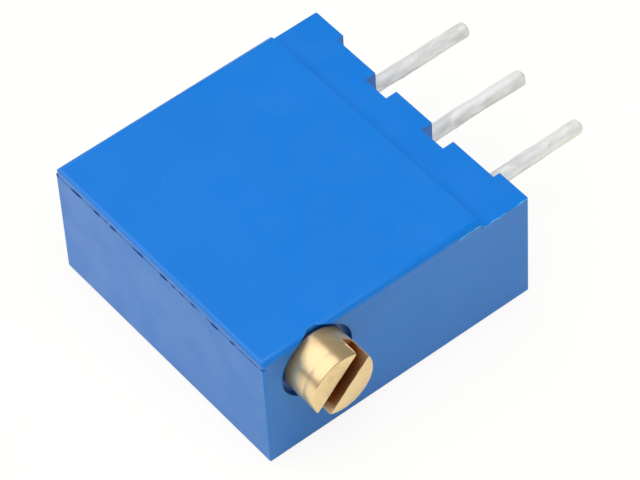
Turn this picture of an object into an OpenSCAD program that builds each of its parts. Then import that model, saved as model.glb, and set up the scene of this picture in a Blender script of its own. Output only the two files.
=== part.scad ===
// Multi-turn trimmer potentiometer, side adjusted, with three pins in line.
// It lies on its large face: +Z is its thickness, +Y points along the pins and +X along the screw.
// The origin is the centre of the lower large face, without the pins and the screw.
// All lengths are in millimetres.

/* [Body] */
// Width of the body, across the pins
body_w = 9.5; // [9.2:0.05:10.5]
// Height of the body, from its back to its stand-off feet
body_h = 9.53; // [9.4:0.01:10.5]
// Thickness of the body with its cover
body_t = 4.4; // [4.3:0.05:5.2]
// Wall of the housing
wall_t = 0.75; // [0.6:0.05:0.9]
// Floor of the housing
floor_t = 0.7; // [0.4:0.05:0.85]
// Chamfer along the housing's lower edges
edge_chamfer = 0.1; // [0.05:0.01:0.2]
// Radius of the housing's upright edges
corner_r = 0.06; // [0.05:0.01:0.25]

/* [Cover] */
// Thickness of the cover plate
cover_t = 0.28; // [0.24:0.01:0.4]
// Rounding along the cover's two upper side edges
cover_round = 0.22; // [0.1:0.01:0.24]
// Rounding along the cover's upper back edge
cover_back_round = 0.12; // [0.08:0.01:0.24]
// Radius of the cover's two back corners
cover_corner_r = 0.14; // [0.08:0.02:0.8]
// Distance from the cover's end to the plane of the feet
end_step = 1.75; // [1.5:0.05:1.9]
// Height of the locating rim under the cover
rim_h = 0.22; // [0.1:0.01:0.3]
// Width of the locating rim
rim_w = 0.35; // [0.2:0.05:0.45]

/* [Pin end] */
// Width of each stand-off foot
foot_w = 1.25; // [0.9:0.05:1.4]
// Height of the feet over the pads
foot_h = 0.23; // [0.1:0.01:0.4]
// Width of the notch between two pads
notch_w = 0.95; // [0.6:0.05:1.2]
// Depth of the notch, below the pads
notch_d = 0.39; // [0.2:0.01:0.45]

/* [Pins] */
// Distance between neighbouring pins
pin_pitch = 2.54; // [2.4:0.01:2.6]
// Diameter of a pin
pin_d = 0.5; // [0.4:0.01:0.55]
// Length of a pin past the plane of the feet
pin_len = 3.85; // [2.5:0.05:8]
// Length of a pin on its solder pad
pin_on_pad = 0.8; // [0.6:0.05:0.9]

/* [Adjusting screw] */
// Diameter of the slotted head
head_d = 2.12; // [2:0.01:2.2]
// Length of the head outside the body
head_out = 1.15; // [0.8:0.05:2]
// Width of the screwdriver slot
slot_w = 0.6; // [0.4:0.02:0.8]
// Depth of the screwdriver slot
slot_deep = 0.7; // [0.4:0.05:0.95]
// Angle of the slot above the pins' direction
slot_turn = 45; // [0:5:180]
// Distance of the screw's axis from the body's back
screw_in = 1.84; // [1.8:0.01:1.9]
// Distance of the screw's axis below the cover's top
screw_drop = 1.23; // [1.22:0.01:1.3]
// Diameter of the screw's neck in its bearing
neck_d = 1.7; // [1.68:0.01:1.74]
// Diameter of the journal at the screw's far end
journal_d = 0.9; // [0.7:0.01:1]
// Diameter of the bottom of the seal ring's groove
seal_groove_d = 1.12; // [1:0.01:1.2]
// Width of the seal ring's groove
seal_groove_w = 0.36; // [0.3:0.01:0.4]

/* [Worm drive] */
// Teeth on the rotor, which are turns of the screw for one turn of the rotor
gear_teeth = 33; // [33]
// Pitch radius of the rotor's teeth
gear_r = 2.45; // [2.4:0.01:2.5]
// Height of the toothed rim
gear_face = 0.7; // [0.5:0.05:0.72]
// Pitch radius of the worm
worm_r = 0.66; // [0.65:0.01:0.67]
// Facets around one turn of the worm's thread
worm_facets = 24; // [16:2:32]
// Turns of thread on the worm
worm_turns = 8; // [8]

/* [Resistive element] */
// Height of the ledges under the ceramic plate, above the floor
ledge_h = 0.55; // [0.3:0.05:0.8]
// Width of the ledges under the ceramic plate
ledge_w = 0.6; // [0.3:0.05:0.8]
// Width of the cheeks beside the ceramic plate
cheek_w = 0.18; // [0.1:0.01:0.4]
// Depth of the ceramic plate's upper face below the cover's top
plate_drop = 2.2; // [2.19:0.01:2.24]
// Middle radius of the horseshoe track
track_r = 1.92; // [1.8:0.01:1.95]
// Width of the horseshoe track
track_w = 0.55; // [0.4:0.05:0.6]
// Thickness of the printed layers
print_t = 0.03; // [0.02:0.01:0.04]
// Angle that the wiper sweeps to each side of its middle
sweep = 136.4; // [120:0.1:138]

/* [Hidden] */
$fn = 64;

// Clearances between pieces
cut = 0.01;            // a cut runs this far past the face that it opens
run_gap = 0.04;        // round a shaft in its bearing
thrust_gap = 0.03;     // beside a shoulder that turns
seat_gap = 0.02;       // round a piece that lies in a pocket
wipe_gap = 0.02;       // between the brush and what it runs on
free_gap = 0.1;        // between pieces that pass each other

// Planes of the body
seam_z = body_t - cover_t;
feet_y = body_h / 2;
pads_y = feet_y - foot_h;
notch_y = pads_y - notch_d;
back_y = -body_h / 2;
side_x = body_w / 2;
cover_end_y = feet_y - end_step;
cover_seat = 0.15;     // the cover's end lies this far on the pin end's solid part
far = 2 * body_w;      // past everything
cavity_x = side_x - wall_t;
cavity_back_y = back_y + wall_t;
rim_z = seam_z - rim_h;

// Ceramic plate, and the seal between it and the wall behind the notches
end_wall_t = 0.3;
seal_t = 0.2;
seal_face_y = notch_y - end_wall_t;
plate_z = body_t - plate_drop;
plate_end_y = seal_face_y - seal_t;
plate_low_z = floor_t + ledge_h;
plate_t = plate_z - plate_low_z;
plate_w = 2 * (cavity_x - cheek_w - seat_gap);
print_z = plate_z + print_t;

// Pins, soldered on the plate
pin_r = pin_d / 2;
solder_film = 0.02;    // between the pin and its pad
pin_z = print_z + solder_film + pin_r;
pin_x = [-pin_pitch, 0, pin_pitch];
pin_in_y = plate_end_y - pin_on_pad;
pin_tip_y = feet_y + pin_len;
pin_chamfer = 0.08;
pad_w = 0.9;
pad_lap = 0.05;        // the pad starts this far behind the pin's end
solder_t = 0.13;
solder_back = 0.1;     // of the pin's end left bare behind the solder
solder_edge = 0.05;    // of bare pad beside the solder
solder_r = pin_r + solder_t;
solder_back_r = pin_r + 0.05;
solder_start_y = pin_in_y + solder_back;
seal_hole_r = pin_r + 0.18;
seal_pocket_y = plate_end_y + seat_gap;
seal_side = 0.75;      // of resin beyond the outer pins' axes
seal_x = pin_pitch + seal_side;
seal_low_z = plate_z;
seal_top_z = pin_z + pin_r + 0.25;
meniscus_h = 0.16;
pin_square = 0.68 * pin_d;      // across flats, where the wire is squared from its pad to the resin's face
pin_round_y = pads_y + 0.9 * meniscus_h;
collector_r = 0.6;
lead_w = 0.5;

// Worm: its axis, and a thread profile with a little backlash
screw_y = back_y + screw_in;
screw_z = body_t - screw_drop;
pitch = 2 * PI * gear_r / gear_teeth;
module_mm = pitch / PI;
worm_tip_r = worm_r + 0.95 * module_mm;
worm_root_r = worm_r - 1.2 * module_mm;
backlash = 0.022;
flank = tan(20);
thread_mid = pitch / 4 - backlash;
thread_tip = thread_mid - (worm_tip_r - worm_r) * flank;
thread_root = thread_mid + (worm_r - worm_root_r) * flank;
lead = atan(pitch / (2 * PI * worm_r));
worm_half = worm_turns / 2 * pitch;
collar_in = worm_half - pitch + thread_root - 0.05;
collar_out = worm_half + thread_root + 0.03;

// Screw along +X from the worm: clip groove, bearing neck with the seal ring's groove, head
neck_r = neck_d / 2;
bearing_r = neck_r + run_gap;
journal_r = journal_d / 2;
clip_t = 0.22;
clip_groove_r = 0.6;
clip_in = collar_out + thrust_gap;
groove_end = clip_in + clip_t + thrust_gap;
head_r = head_d / 2;
mouth_gap = 0.18;
mouth_r = head_r + mouth_gap;
mouth_deep = 0.22;
head_gap = 0.05;       // between the head and the mouth's floor
head_in = side_x - mouth_deep + head_gap;
head_end = side_x + head_out;
head_chamfer = 0.05;
land_w = 0.55;         // of the neck between its two grooves
seal_in = groove_end + land_w;
journal_end = cavity_x - 0.25;
collar_lap = 0.12;     // the collar starts this far inside its bearing
block_in = collar_out - collar_lap;
block_wall = 0.3;
block_side_y = screw_y + bearing_r + block_wall;
far_block_in = collar_out + free_gap;

// Retaining clip, pushed down over the screw's groove
clip_w = 2.2;
clip_lead = 0.3;
clip_slot_r = clip_groove_r + run_gap;
clip_low_z = plate_z + 2 * seat_gap;
clip_top_z = seam_z - seat_gap;

// Rotor: a hub on the cover's pin, a toothed rim, and a stop lug
gear_y = screw_y + worm_r + gear_r;
gear_tip_r = gear_r + 0.9 * module_mm;
gear_root_r = gear_r - 1.2 * module_mm;
tooth_mid = pitch / 4 - backlash;
tooth_tip = tooth_mid - (gear_tip_r - gear_r) * flank;
tooth_root = tooth_mid + (gear_r - gear_root_r) * flank;
gear_low_z = screw_z - gear_face / 2;
gear_top_z = screw_z + gear_face / 2;
hub_r = 1.15;
hub_pin_r = 0.6;
hub_bore_r = hub_pin_r + run_gap;
hub_under = 0.2;       // the hub stands out this far under the rim
hub_low_z = gear_low_z - hub_under;
hub_floor = 0.3;
hub_top_z = seam_z - 0.15;
boss_r = 1.0;
boss_z = hub_top_z + thrust_gap;
stop_in_r = 1.4;
stop_out_r = 2.0;
stop_low_z = gear_top_z + 0.12;
lug_half = 14;         // half the lug's angle
stop_slack = 1.5;      // angle left between the lug and the stop at the end of travel
stop_half = 180 - sweep - lug_half - stop_slack;
web_cut = 0.2;
web_in_r = hub_r + 0.15;
web_rim = 0.3;         // left under the teeth
web_out_r = gear_root_r - web_rim;

// Wiper: a stamped spring under the hub with a cup on the collector, and a brush on the track
spring_t = 0.07;
spring_top_z = hub_low_z;
spring_low_z = spring_top_z - spring_t;
spring_r = 0.95;
cup_r = 0.36;
cup_tip_r = 0.2;
brush_low_z = print_z + wipe_gap;
brush_t = 0.08;
arm_w = 0.7;
arm_end_r = track_r - 0.3;
weld_back = 0.35;      // of the brush's foot on the arm
weld_in_r = arm_end_r - weld_back;
weld_w = 0.3;
curl = 0.12;           // length of the tines' curled tips
tine_count = 4;
tine_w = 0.1;
tine_pitch = 0.18;

// Plate's outline: full width beside the rotor, and a tongue under it between the bearing blocks
plate_margin = 0.15;   // of bare ceramic round the track
plate_step_y = block_side_y + run_gap;
plate_back_y = gear_y - track_r - track_w / 2 - plate_margin;
tongue_w = 2 * (block_in - free_gap);

// Plan of the body, with its feet, pads and notches
function notch(x) = [[x + notch_w / 2, pads_y], [x + notch_w / 2, notch_y],
    [x - notch_w / 2, notch_y], [x - notch_w / 2, pads_y]];
plan_points = concat(
    [[-side_x, back_y], [side_x, back_y], [side_x, feet_y]],
    [[side_x - foot_w, feet_y], [side_x - foot_w, pads_y]],
    notch(pin_pitch / 2), notch(-pin_pitch / 2),
    [[foot_w - side_x, pads_y], [foot_w - side_x, feet_y], [-side_x, feet_y]]);

// Rectangle between two corners, with rounded corners
module round_plan(low, high, r) {
    for (x = [low[0] + r, high[0] - r], y = [low[1] + r, high[1] - r])
        translate([x, y]) circle(r);
    translate([low[0] + r, low[1]]) square([high[0] - low[0] - 2 * r, high[1] - low[1]]);
    translate([low[0], low[1] + r]) square([high[0] - low[0], high[1] - low[1] - 2 * r]);
}

// Box between two corners
module block(low, high) {
    translate(low) cube(high - low);
}

// Cylinder along +X from x0 to x1 on the screw's axis
module on_screw(r, x0, x1, chamfer = 0) {
    translate([x0, screw_y, screw_z]) rotate([0, 90, 0]) {
        cylinder(r = r, h = x1 - x0 - chamfer);
        if (chamfer > 0)
            translate([0, 0, x1 - x0 - chamfer]) cylinder(r1 = r, r2 = r - chamfer, h = chamfer);
    }
}

// Cylinder upright on the rotor's axis
module on_rotor(r, z0, z1) {
    translate([0, gear_y, z0]) cylinder(r = r, h = z1 - z0);
}

// Ring sector on the rotor's axis, centred on the angle mid
module sector(r0, r1, z0, z1, mid, half) {
    translate([0, gear_y, z0]) rotate([0, 0, mid - half])
        rotate_extrude(angle = 2 * half) translate([r0, 0]) square([r1 - r0, z1 - z0]);
}

// Cylinder along +Y at a pin's place
module on_pin(x, r, y0, y1) {
    translate([x, y0, pin_z]) rotate([-90, 0, 0]) cylinder(r = r, h = y1 - y0);
}

// Outside of the housing: its plan, with all lower edges chamfered
module housing_shell() {
    intersection() {
        linear_extrude(seam_z) polygon(plan_points);
        linear_extrude(seam_z) round_plan([-side_x, back_y], [side_x, feet_y], corner_r);
        translate([0, back_y, 0]) rotate([90, 0, 180]) linear_extrude(body_h)
            polygon([[-side_x, seam_z], [-side_x, edge_chamfer], [edge_chamfer - side_x, 0],
                [side_x - edge_chamfer, 0], [side_x, edge_chamfer], [side_x, seam_z]]);
        translate([-side_x, 0, 0]) rotate([90, 0, 90]) linear_extrude(body_w)
            polygon([[back_y, seam_z], [back_y, edge_chamfer], [back_y + edge_chamfer, 0],
                [feet_y - edge_chamfer, 0], [feet_y, edge_chamfer], [feet_y, seam_z]]);
    }
}

// Room inside the housing, open upwards under the cover
module housing_room() {
    block([-cavity_x, cavity_back_y, floor_t], [cavity_x, cover_end_y - cover_seat, seam_z + cut]);
    // Pocket for the plate's end, under the pin end's solid part
    block([-plate_w / 2 - seat_gap, cover_end_y - wall_t, floor_t],
        [plate_w / 2 + seat_gap, seal_pocket_y, seal_top_z]);
    // Pocket for the seal, and a hole for each pin
    block([-seal_x, seal_pocket_y - cut, seal_low_z], [seal_x, seal_face_y, seal_top_z]);
    for (x = pin_x)
        on_pin(x, seal_hole_r, seal_face_y - cut, feet_y);
}

// Bearing blocks for the screw, and ledges for the plate
module housing_inside() {
    block([block_in, cavity_back_y - cut, floor_t - cut], [cavity_x + cut, block_side_y, seam_z]);
    block([-cavity_x - cut, cavity_back_y - cut, floor_t - cut], [-far_block_in, block_side_y, seam_z]);
    for (side = [0, 1])
        mirror([side, 0, 0]) {
            block([plate_w / 2 - ledge_w, block_side_y - cut, floor_t - cut],
                [cavity_x, seal_pocket_y + cut, plate_low_z]);
            // Cheek beside the plate
            block([plate_w / 2 + seat_gap, block_side_y - cut, floor_t],
                [cavity_x + cut, cover_end_y, plate_z]);
        }
}

module housing() {
    color([0.10, 0.36, 0.72])
    difference() {
        union() {
            difference() {
                housing_shell();
                housing_room();
            }
            housing_inside();
        }
        // Bearings, with a wider mouth round the head
        on_screw(bearing_r, block_in - cut, side_x + cut);
        on_screw(journal_r + run_gap, -journal_end - free_gap, -far_block_in + cut);
        on_screw(mouth_r, side_x - mouth_deep, side_x + cut);
        // Slot for the clip, open upwards
        block([clip_in - seat_gap, screw_y - clip_w / 2 - seat_gap, clip_low_z - seat_gap],
            [clip_in + clip_t + seat_gap, screw_y + clip_w / 2 + seat_gap, seam_z + cut]);
    }
}

// Outside of the cover: rounded back corners and rounded upper edges
module cover_shell() {
    r = cover_round;
    back_r = cover_back_round;
    intersection() {
        translate([0, 0, seam_z]) linear_extrude(cover_t) union() {
            round_plan([-side_x, back_y], [side_x, cover_end_y], cover_corner_r);
            translate([-side_x, 0]) square([body_w, cover_end_y]);
        }
        translate([0, cover_end_y, 0]) rotate([90, 0, 0]) linear_extrude(body_h) union() {
            translate([-side_x, seam_z]) square([body_w, cover_t - r]);
            translate([r - side_x, seam_z]) square([body_w - 2 * r, cover_t]);
            for (x = [r - side_x, side_x - r])
                translate([x, body_t - r]) circle(r);
        }
        translate([-side_x, 0, 0]) rotate([90, 0, 90]) linear_extrude(body_w) union() {
            translate([back_y, seam_z]) square([cover_end_y - back_y, cover_t - back_r]);
            translate([back_y + back_r, seam_z]) square([cover_end_y - back_y - back_r, cover_t]);
            translate([back_y + back_r, body_t - back_r]) circle(back_r);
        }
    }
}

module cover_plate() {
    rim_x = cavity_x - seat_gap;
    rim_back_y = cavity_back_y + seat_gap;
    rim_end_y = cover_end_y - cover_seat - seat_gap;
    color([0.10, 0.38, 0.76])
    difference() {
        union() {
            cover_shell();
            // Rim that locates the cover in the housing, between the bearing blocks
            difference() {
                block([-rim_x, block_side_y + seat_gap, rim_z], [rim_x, rim_end_y, seam_z + cut]);
                block([rim_w - rim_x, block_side_y - cut, rim_z - cut],
                    [rim_x - rim_w, rim_end_y - rim_w, seam_z]);
            }
            // Boss, hub pin and stop for the rotor
            on_rotor(boss_r, boss_z, seam_z + cut);
            on_rotor(hub_pin_r, hub_low_z + hub_floor + thrust_gap, seam_z + cut);
            sector(stop_in_r, stop_out_r, stop_low_z, seam_z + cut, 90, stop_half);
        }
        on_screw(mouth_r, side_x - mouth_deep, side_x + cut);
    }
}

// Thread and core of the worm as one closed surface: strips between the helix's four edges
module worm() {
    n = worm_facets;
    last = n * worm_turns;
    edge = [[-thread_root, worm_root_r], [-thread_tip, worm_tip_r],
        [thread_tip, worm_tip_r], [thread_root, worm_root_r]];
    helix = [for (i = [0:last], e = edge)
        let (a = 360 * i / n, x = pitch * i / n - worm_half + e[0])
        [x, -e[1] * cos(a), -e[1] * sin(a)]];
    centres = [[-worm_half, 0, 0], [worm_half, 0, 0]];
    first_c = len(helix);
    last_c = first_c + 1;
    function at(i, k) = 4 * i + k;
    flanks = [for (i = [0:last - 1], k = [0:2])
        each [[at(i, k), at(i, k + 1), at(i + 1, k)], [at(i + 1, k), at(i, k + 1), at(i + 1, k + 1)]]];
    roots = [for (i = [0:last - n - 1])
        each [[at(i, 3), at(i + n, 0), at(i + 1, 3)], [at(i + 1, 3), at(i + n, 0), at(i + n + 1, 0)]]];
    ends = [for (i = [0:n - 1])
        each [[first_c, at(i, 0), at(i + 1, 0)], [last_c, at(last - i, 3), at(last - i - 1, 3)]]];
    steps = [[first_c, at(n, 0), at(0, 3), at(0, 2), at(0, 1), at(0, 0)],
        [last_c, at(last - n, 3), at(last, 0), at(last, 1), at(last, 2), at(last, 3)]];
    translate([0, screw_y, screw_z])
        polyhedron(concat(helix, centres), concat(flanks, roots, ends, steps), convexity = 10);
}

module adjusting_screw() {
    color([0.84, 0.72, 0.48])
    difference() {
        union() {
            worm();
            on_screw(journal_r, -journal_end, -collar_out + cut, 0);
            on_screw(neck_r, -collar_out, -collar_in);
            on_screw(neck_r, collar_in, clip_in - thrust_gap);
            on_screw(clip_groove_r, clip_in - thrust_gap - cut, groove_end + cut);
            on_screw(neck_r, groove_end, seal_in);
            on_screw(seal_groove_d / 2, seal_in - cut, seal_in + seal_groove_w + cut);
            on_screw(neck_r, seal_in + seal_groove_w, head_in + cut);
            on_screw(head_r, head_in, head_end, head_chamfer);
        }
        // Screwdriver slot across the head
        translate([head_end - slot_deep, screw_y, screw_z]) rotate([slot_turn, 0, 0])
            translate([0, -head_d, -slot_w / 2]) cube([slot_deep + cut, 2 * head_d, slot_w]);
    }
}

// Rubber ring that closes the bearing
module screw_seal_ring() {
    wire_r = (bearing_r - 0.01 - seal_groove_d / 2) / 2;
    color([0.08, 0.08, 0.09])
        translate([seal_in + seal_groove_w / 2, screw_y, screw_z]) rotate([0, 90, 0])
            rotate_extrude() translate([seal_groove_d / 2 + wire_r, 0]) circle(wire_r, $fn = 32);
}

// Stamped U-shaped clip that holds the screw along its axis
module retaining_clip() {
    color([0.75, 0.75, 0.74])
    difference() {
        block([clip_in, screw_y - clip_w / 2, clip_low_z],
            [clip_in + clip_t, screw_y + clip_w / 2, clip_top_z]);
        on_screw(clip_slot_r, clip_in - cut, clip_in + clip_t + cut);
        block([clip_in - cut, screw_y - clip_slot_r, clip_low_z - cut],
            [clip_in + clip_t + cut, screw_y + clip_slot_r, screw_z]);
        // Lead-in on both legs
        for (side = [-1, 1])
            translate([clip_in + clip_t / 2, screw_y + side * clip_w / 2, clip_low_z]) rotate([45, 0, 0])
                cube([clip_t + 2 * cut, clip_lead, clip_lead], center = true);
    }
}

// One tooth, leaning at the worm's lead angle
module tooth(i) {
    inner_r = gear_root_r - 0.06;
    translate([0, gear_y, screw_z]) rotate([0, 0, 360 * i / gear_teeth - 90]) rotate([-lead, 0, 0])
        linear_extrude(2 * gear_face, center = true)
            polygon([[inner_r, -tooth_root], [gear_root_r, -tooth_root], [gear_tip_r, -tooth_tip],
                [gear_tip_r, tooth_tip], [gear_root_r, tooth_root], [inner_r, tooth_root]]);
}

module rotor_wheel() {
    color([0.93, 0.93, 0.88])
    difference() {
        union() {
            on_rotor(gear_root_r, gear_low_z, gear_top_z);
            on_rotor(hub_r, hub_low_z, hub_top_z);
            sector(web_in_r, web_out_r, gear_top_z - cut, hub_top_z, -90, lug_half);
            intersection() {
                on_rotor(gear_tip_r, gear_low_z, gear_top_z);
                union() for (i = [0:gear_teeth - 1]) tooth(i);
            }
        }
        on_rotor(hub_bore_r, hub_low_z + hub_floor, hub_top_z + cut);
        // Web, thinner than the rim, with the lug left standing
        sector(web_in_r, web_out_r, gear_top_z - web_cut, gear_top_z + cut, 90, 180 - lug_half);
    }
}

// Spring leaf under the hub: a disc with a cup in its middle, and an arm towards the track
module wiper_spring() {
    dent = spring_t * 0.8;
    color([0.80, 0.68, 0.42])
    difference() {
        union() {
            on_rotor(spring_r, spring_low_z, spring_top_z);
            translate([-arm_w / 2, gear_y - arm_end_r, spring_low_z]) cube([arm_w, arm_end_r, spring_t]);
            translate([0, gear_y, brush_low_z])
                cylinder(r1 = cup_tip_r, r2 = cup_r, h = spring_low_z - brush_low_z + cut);
        }
        translate([0, gear_y, brush_low_z + dent])
            cylinder(r1 = cup_tip_r - dent, r2 = cup_r - dent, h = spring_top_z - brush_low_z);
    }
}

// Brush welded under the spring's arm, with tines that bend down to the track
module wiper_brush() {
    color([0.82, 0.82, 0.84])
    translate([0, gear_y, 0])
    union() {
        translate([-arm_w / 2, -weld_in_r - brush_t, spring_low_z - brush_t]) cube([arm_w, weld_w, brush_t]);
        for (i = [0:tine_count - 1])
            translate([(i - (tine_count - 1) / 2) * tine_pitch - tine_w / 2, 0, 0])
                rotate([90, 0, 90]) linear_extrude(tine_w) tine();
    }
}

// Side of one tine: flat under the arm, bent down to the track, and curled up at its tip
module tine() {
    bend = 0.75 * brush_t;
    polygon([[-weld_in_r, spring_low_z], [-arm_end_r, spring_low_z],
        [-track_r, brush_low_z + brush_t], [-track_r - curl, brush_low_z + brush_t + curl / 2],
        [-track_r - curl, brush_low_z + curl / 3], [-track_r, brush_low_z],
        [-track_r + brush_t, brush_low_z], [-arm_end_r + bend, spring_low_z - brush_t],
        [-weld_in_r, spring_low_z - brush_t]]);
}

// Fired ceramic plate that carries the element and the pins
module ceramic_plate() {
    color([0.95, 0.94, 0.90])
        translate([0, 0, plate_low_z]) linear_extrude(plate_t)
            polygon([[-tongue_w / 2, plate_back_y], [tongue_w / 2, plate_back_y],
                [tongue_w / 2, plate_step_y], [plate_w / 2, plate_step_y],
                [plate_w / 2, plate_end_y], [-plate_w / 2, plate_end_y],
                [-plate_w / 2, plate_step_y], [-tongue_w / 2, plate_step_y]]);
}

// Cermet ink in a horseshoe, open towards the pins
module resistive_track() {
    color([0.16, 0.15, 0.17])
        sector(track_r - track_w / 2, track_r + track_w / 2, plate_z, print_z, -90, sweep);
}

// Disc under the rotor's axis, with its lead to the middle pin
module collector_print() {
    color([0.78, 0.78, 0.76])
    union() {
        on_rotor(collector_r, plate_z, print_z);
        block([-lead_w / 2, gear_y, plate_z], [lead_w / 2, pin_in_y, print_z]);
        block([-pad_w / 2, pin_in_y - pad_lap, plate_z], [pad_w / 2, plate_end_y, print_z]);
    }
}

// Lead from the right end of the track to the right pin's pad
module end_print() {
    a = sweep - 90;
    in_r = track_r - track_w / 2;
    out_r = track_r + track_w / 2;
    pad_y = pin_in_y - pad_lap;
    left = pin_pitch - pad_w / 2;
    right = pin_pitch + pad_w / 2;
    color([0.78, 0.78, 0.76])
    translate([0, 0, plate_z]) linear_extrude(print_t)
        polygon([[in_r * cos(a), gear_y + in_r * sin(a)], [out_r * cos(a), gear_y + out_r * sin(a)],
            [right, pad_y], [right, plate_end_y], [left, plate_end_y], [left, pad_y]]);
}
module end_print_1() { mirror([1, 0, 0]) end_print(); }
module end_print_3() { end_print(); }

// Part of a pin that lies inside the body, squared so that the resin holds it from turning
module pin_root(x, y0, y1) {
    block([x - pin_square / 2, y0, pin_z - pin_square / 2], [x + pin_square / 2, y1, pin_z + pin_square / 2]);
}

// Round tinned wire with a chamfered tip
module pin(x) {
    color([0.86, 0.86, 0.85])
    union() {
        pin_root(x, pin_in_y, pin_round_y + cut);
        on_pin(x, pin_r, pin_round_y, pin_tip_y - pin_chamfer);
        translate([x, pin_tip_y - pin_chamfer, pin_z]) rotate([-90, 0, 0])
            cylinder(r1 = pin_r, r2 = pin_r - pin_chamfer, h = pin_chamfer);
    }
}
module pin_1() { pin(pin_x[0]); }
module pin_2() { pin(pin_x[1]); }
module pin_3() { pin(pin_x[2]); }

// Solder round a pin on its pad
module solder_joint(x) {
    color([0.74, 0.74, 0.76])
    difference() {
        intersection() {
            union() {
                translate([x, solder_start_y, pin_z]) rotate([-90, 0, 0])
                    cylinder(r1 = solder_back_r, r2 = solder_r, h = plate_end_y - solder_start_y);
                block([x + solder_edge - pad_w / 2, solder_start_y, print_z],
                    [x - solder_edge + pad_w / 2, plate_end_y, pin_z]);
            }
            block([x - pad_w / 2, solder_start_y, print_z], [x + pad_w / 2, plate_end_y, pin_z + solder_r]);
        }
        pin_root(x, pin_in_y - cut, plate_end_y + cut);
    }
}
module solder_joint_1() { solder_joint(pin_x[0]); }
module solder_joint_2() { solder_joint(pin_x[1]); }
module solder_joint_3() { solder_joint(pin_x[2]); }

// Cast resin behind the pin end, and round each pin to the face of its pad
module end_seal() {
    color([0.12, 0.34, 0.66])
    difference() {
        union() {
            block([-seal_x, seal_pocket_y, seal_low_z], [seal_x, seal_face_y, seal_top_z]);
            for (x = pin_x) {
                on_pin(x, seal_hole_r, seal_face_y - cut, pads_y);
                translate([x, pads_y, pin_z]) rotate([-90, 0, 0])
                    cylinder(r1 = seal_hole_r, r2 = pin_r + seat_gap, h = meniscus_h);
            }
        }
        for (x = pin_x) {
            pin_root(x, pin_in_y, pin_tip_y);
            on_pin(x, pin_r, pin_round_y, pin_tip_y);
        }
    }
}

housing();
cover_plate();
adjusting_screw();
screw_seal_ring();
retaining_clip();
rotor_wheel();
wiper_spring();
wiper_brush();
ceramic_plate();
resistive_track();
collector_print();
end_print_1();
end_print_3();
pin_1();
pin_2();
pin_3();
solder_joint_1();
solder_joint_2();
solder_joint_3();
end_seal();
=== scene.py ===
import math
import bmesh
import bpy
from mathutils import Matrix, Vector


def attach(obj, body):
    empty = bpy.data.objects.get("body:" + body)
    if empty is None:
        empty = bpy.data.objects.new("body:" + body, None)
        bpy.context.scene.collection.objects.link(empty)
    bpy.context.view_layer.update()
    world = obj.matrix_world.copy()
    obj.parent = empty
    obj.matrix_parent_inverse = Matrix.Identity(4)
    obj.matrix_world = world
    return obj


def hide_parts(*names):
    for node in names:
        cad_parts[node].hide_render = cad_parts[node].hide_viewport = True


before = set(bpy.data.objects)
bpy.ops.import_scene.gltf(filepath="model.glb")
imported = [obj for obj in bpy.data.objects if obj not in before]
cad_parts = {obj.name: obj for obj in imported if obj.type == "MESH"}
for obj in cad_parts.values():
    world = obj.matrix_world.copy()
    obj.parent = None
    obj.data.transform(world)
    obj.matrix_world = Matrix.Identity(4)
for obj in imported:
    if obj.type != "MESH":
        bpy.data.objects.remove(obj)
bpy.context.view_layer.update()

scene = bpy.context.scene
scene.view_settings.view_transform = "Standard"
mm = 0.001
print("frame loaded:", len(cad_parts), "nodes")


# Camera: a long lens from high over the slotted screw's corner
photoCamera = {
    "place": (61.456, -43.961, 91.618),     # mm
    "right": (0.62813556, 0.77700338, -0.04136982),
    "down": (0.57929509, -0.50247888, -0.64181942),
    "forward": (-0.51948333, 0.37918426, -0.7657391),
    "focalPixels": 4092.7,
    "widthPixels": 640,
    "sensor": 36.0,    # mm
    "nearest": 5.0,    # mm
    "farthest": 5000.0,    # mm
}


def addCamera(spec):
    data = bpy.data.cameras.new("photoCamera")
    data.sensor_width = spec["sensor"]
    data.lens = spec["focalPixels"] / spec["widthPixels"] * spec["sensor"]
    data.clip_start = spec["nearest"] * mm
    data.clip_end = spec["farthest"] * mm
    camera = bpy.data.objects.new("photoCamera", data)
    scene.collection.objects.link(camera)
    axes = (Vector(spec["right"]), -Vector(spec["down"]), -Vector(spec["forward"]))
    turn = Matrix([[axis[row] for axis in axes] for row in range(3)]).to_4x4()
    camera.matrix_world = Matrix.Translation(Vector(spec["place"]) * mm) @ turn
    scene.camera = camera


addCamera(photoCamera)


# Node helpers: a value is a plain number or colour, or the socket that it comes from
mixFactor, mixFirst, mixSecond, mixResult = 0, 6, 7, 2    # the Mix node's sockets for colours
floatKind, colourKind, vectorKind = "NodeSocketFloat", "NodeSocketColor", "NodeSocketVector"
shapeKind, materialKind = "NodeSocketGeometry", "NodeSocketMaterial"


def addNode(tree, kind, values=None, **settings):
    node = tree.nodes.new(kind)
    for key, value in settings.items():
        setattr(node, key, value)
    for key, value in (values or {}).items():
        if isinstance(value, bpy.types.NodeSocket):
            tree.links.new(value, node.inputs[key])
        else:
            node.inputs[key].default_value = value
    return node


def link(tree, value, socket):
    tree.links.new(value, socket)


def number(tree, operation, first, second=0.0, clamp=False):
    values = {0: first, 1: second}
    return addNode(tree, "ShaderNodeMath", values, operation=operation, use_clamp=clamp).outputs[0]


def vector(tree, operation, first, second=None):
    values = {0: first}
    if second is not None:
        values["Scale" if operation == "SCALE" else 1] = second
    node = addNode(tree, "ShaderNodeVectorMath", values, operation=operation)
    return node.outputs["Value" if operation in ("DOT_PRODUCT", "LENGTH") else "Vector"]


def ramp(tree, value, fromMin, fromMax, toMin=0.0, toMax=1.0, smooth=True):
    values = {"Value": value, "From Min": fromMin, "From Max": fromMax, "To Min": toMin, "To Max": toMax}
    kind = "SMOOTHSTEP" if smooth else "LINEAR"
    return addNode(tree, "ShaderNodeMapRange", values, interpolation_type=kind).outputs[0]


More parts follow.
